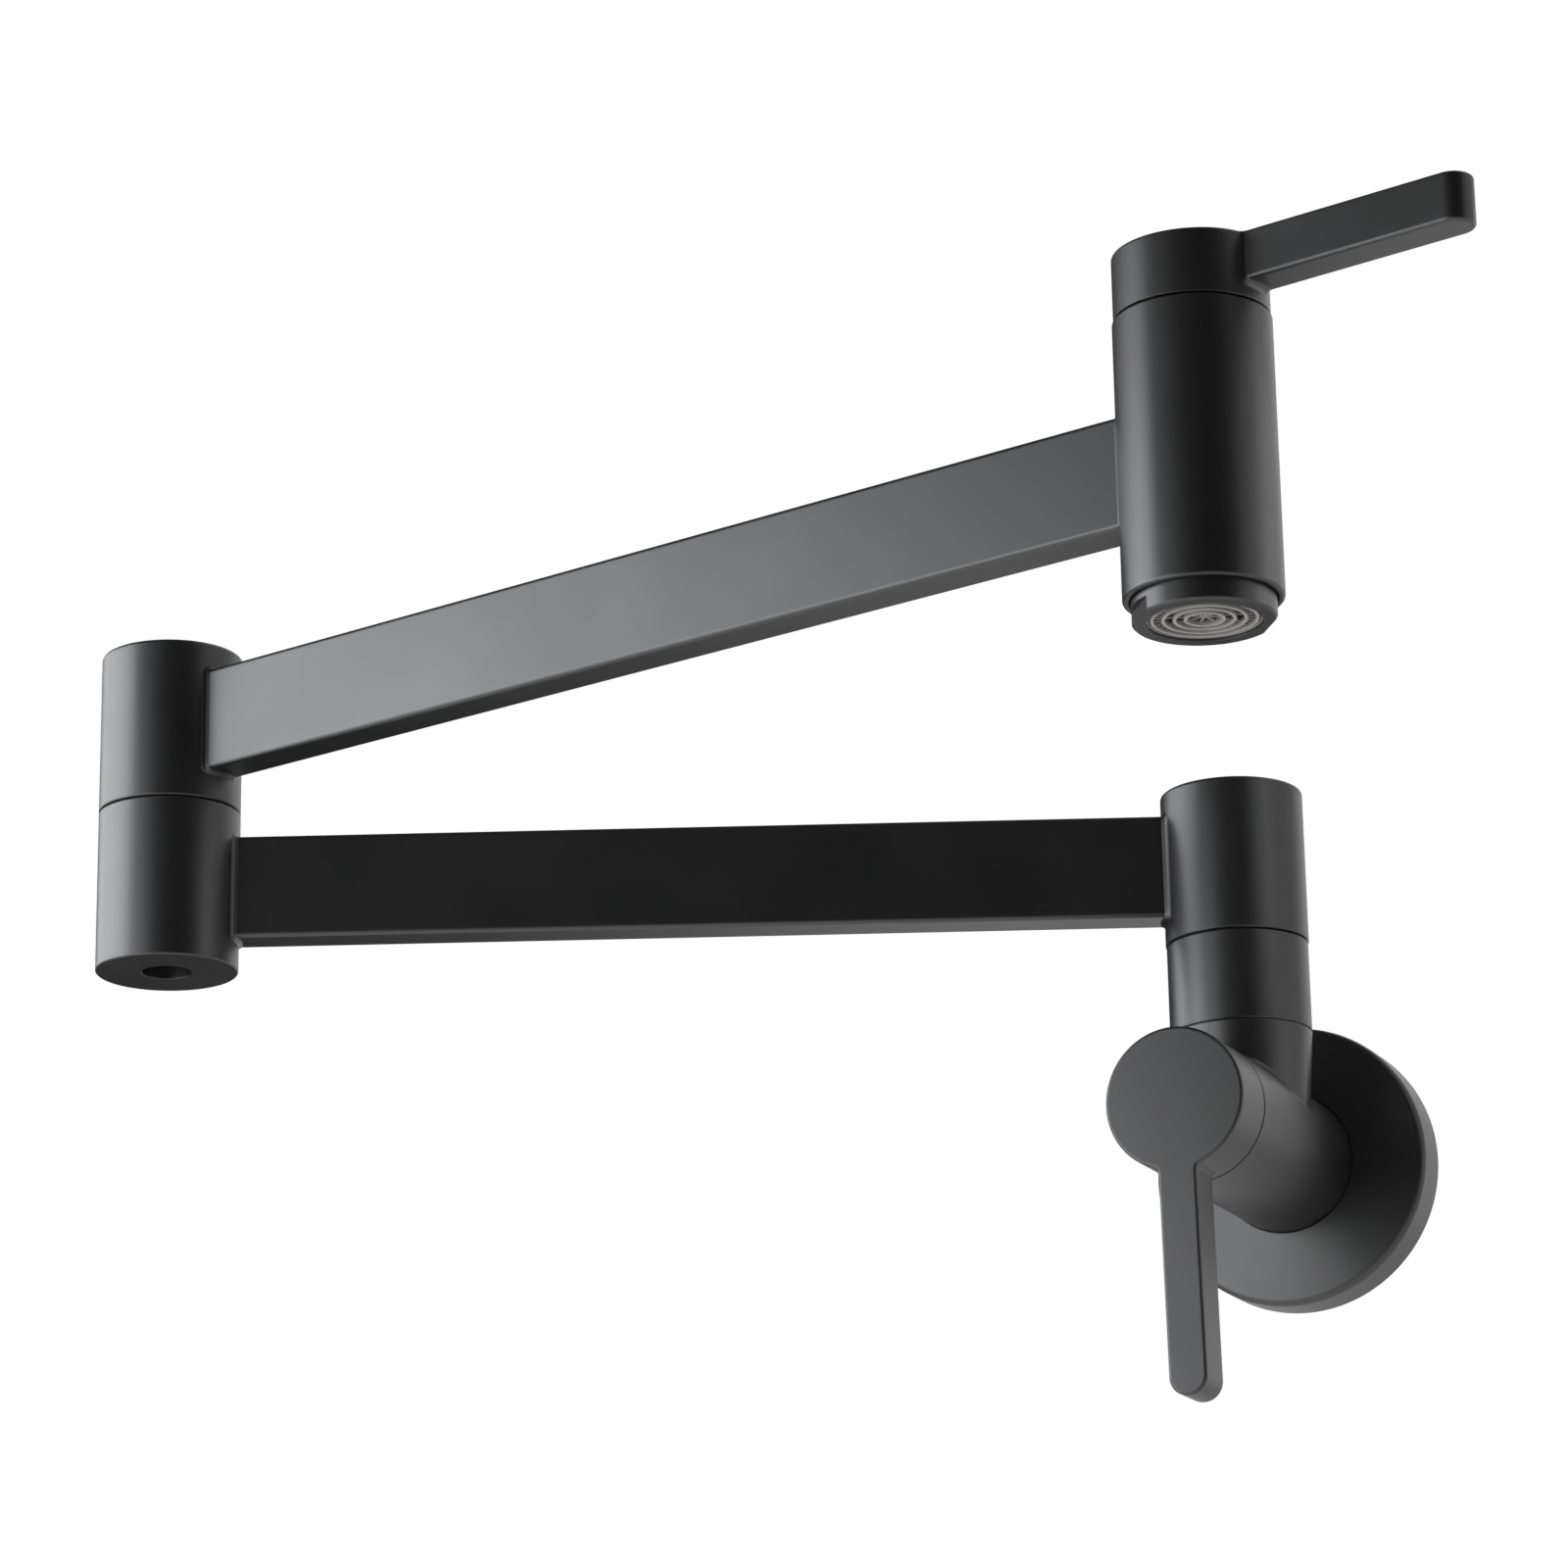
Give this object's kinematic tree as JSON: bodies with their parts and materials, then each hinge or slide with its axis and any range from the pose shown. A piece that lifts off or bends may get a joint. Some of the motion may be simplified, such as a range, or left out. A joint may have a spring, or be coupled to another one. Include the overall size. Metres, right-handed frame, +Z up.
{
  "type": "wall-mounted pot filler faucet",
  "caption": "Satin black wall-mounted pot filler faucet with a folding double-jointed swing arm of flat tube, a lever valve at the wall and another on top of the spout.",
  "frame": {"origin": "centre of the inlet thread on the wall face", "axes": "+Z up, +Y into the wall along the inlet, +X to the right seen from the room"},
  "size_m": [0.3504, 0.2089, 0.2075],
  "materials": {
    "black_coat": "satin black coat on brass",
    "brass": "turned",
    "ceramic": "lapped alumina ceramic",
    "rubber": "moulded",
    "stainless": "turned",
    "white_acetal": "moulded acetal",
    "grey_acetal": "moulded acetal"
  },
  "bodies": {
    "wall_mount": {"wall_flange": "black_coat", "wall_gasket": "rubber", "flange_o_ring": "rubber", "valve_body": "black_coat", "swivel_collar": "black_coat", "shoulder_spigot": "brass", "shoulder_thrust_washer": "white_acetal", "shoulder_o_rings": "rubber", "wall_cartridge_housing": "brass", "wall_cartridge_seal": "rubber", "wall_fixed_disc": "ceramic"},
    "wall_lever": {"wall_handle": "black_coat", "wall_handle_screw": "stainless", "wall_spindle": "brass", "wall_turning_disc": "ceramic", "wall_spindle_o_ring": "rubber", "wall_spindle_clip": "stainless"},
    "lower_arm": {"shoulder_hub": "black_coat", "shoulder_grub_screw": "stainless", "lower_arm_bar": "black_coat", "elbow_lower_hub": "black_coat", "elbow_thrust_washer": "white_acetal"},
    "upper_arm": {"elbow_upper_hub": "black_coat", "elbow_spigot": "brass", "elbow_o_rings": "rubber", "elbow_screw": "stainless", "elbow_screw_washer": "stainless", "upper_arm_bar": "black_coat", "spout_body": "black_coat", "spout_cartridge_housing": "brass", "spout_cartridge_seal": "rubber", "spout_fixed_disc": "ceramic", "aerator_housing": "black_coat", "aerator_insert": "grey_acetal", "aerator_screen": "stainless", "aerator_washer": "rubber"},
    "spout_lever": {"spout_handle": "black_coat", "spout_handle_screw": "stainless", "spout_spindle": "brass", "spout_turning_disc": "ceramic", "spout_spindle_o_ring": "rubber", "spout_spindle_clip": "stainless"}
  },
  "joints": [
    {"name": "shoulder_swivel", "type": "hinge", "parent": "wall_mount", "child": "lower_arm", "pos_m": [0, -0.038, 0.0623], "axis": [0, 0, 1], "range_deg": [-23.8, 156.2]},
    {"name": "elbow_swivel", "type": "hinge", "parent": "lower_arm", "child": "upper_arm", "pos_m": [-0.21996, -0.13501, 0.0994], "axis": [0, 0, 1], "continuous": true},
    {"name": "wall_lever_turn", "type": "hinge", "parent": "wall_mount", "child": "wall_lever", "pos_m": [0, -0.0687, 0], "axis": [0, -1, 0], "range_deg": [0, 90]},
    {"name": "spout_lever_turn", "type": "hinge", "parent": "upper_arm", "child": "spout_lever", "pos_m": [0.05129, -0.19217, 0.1287], "axis": [0, 0, 1], "range_deg": [0, 90]}
  ]
}
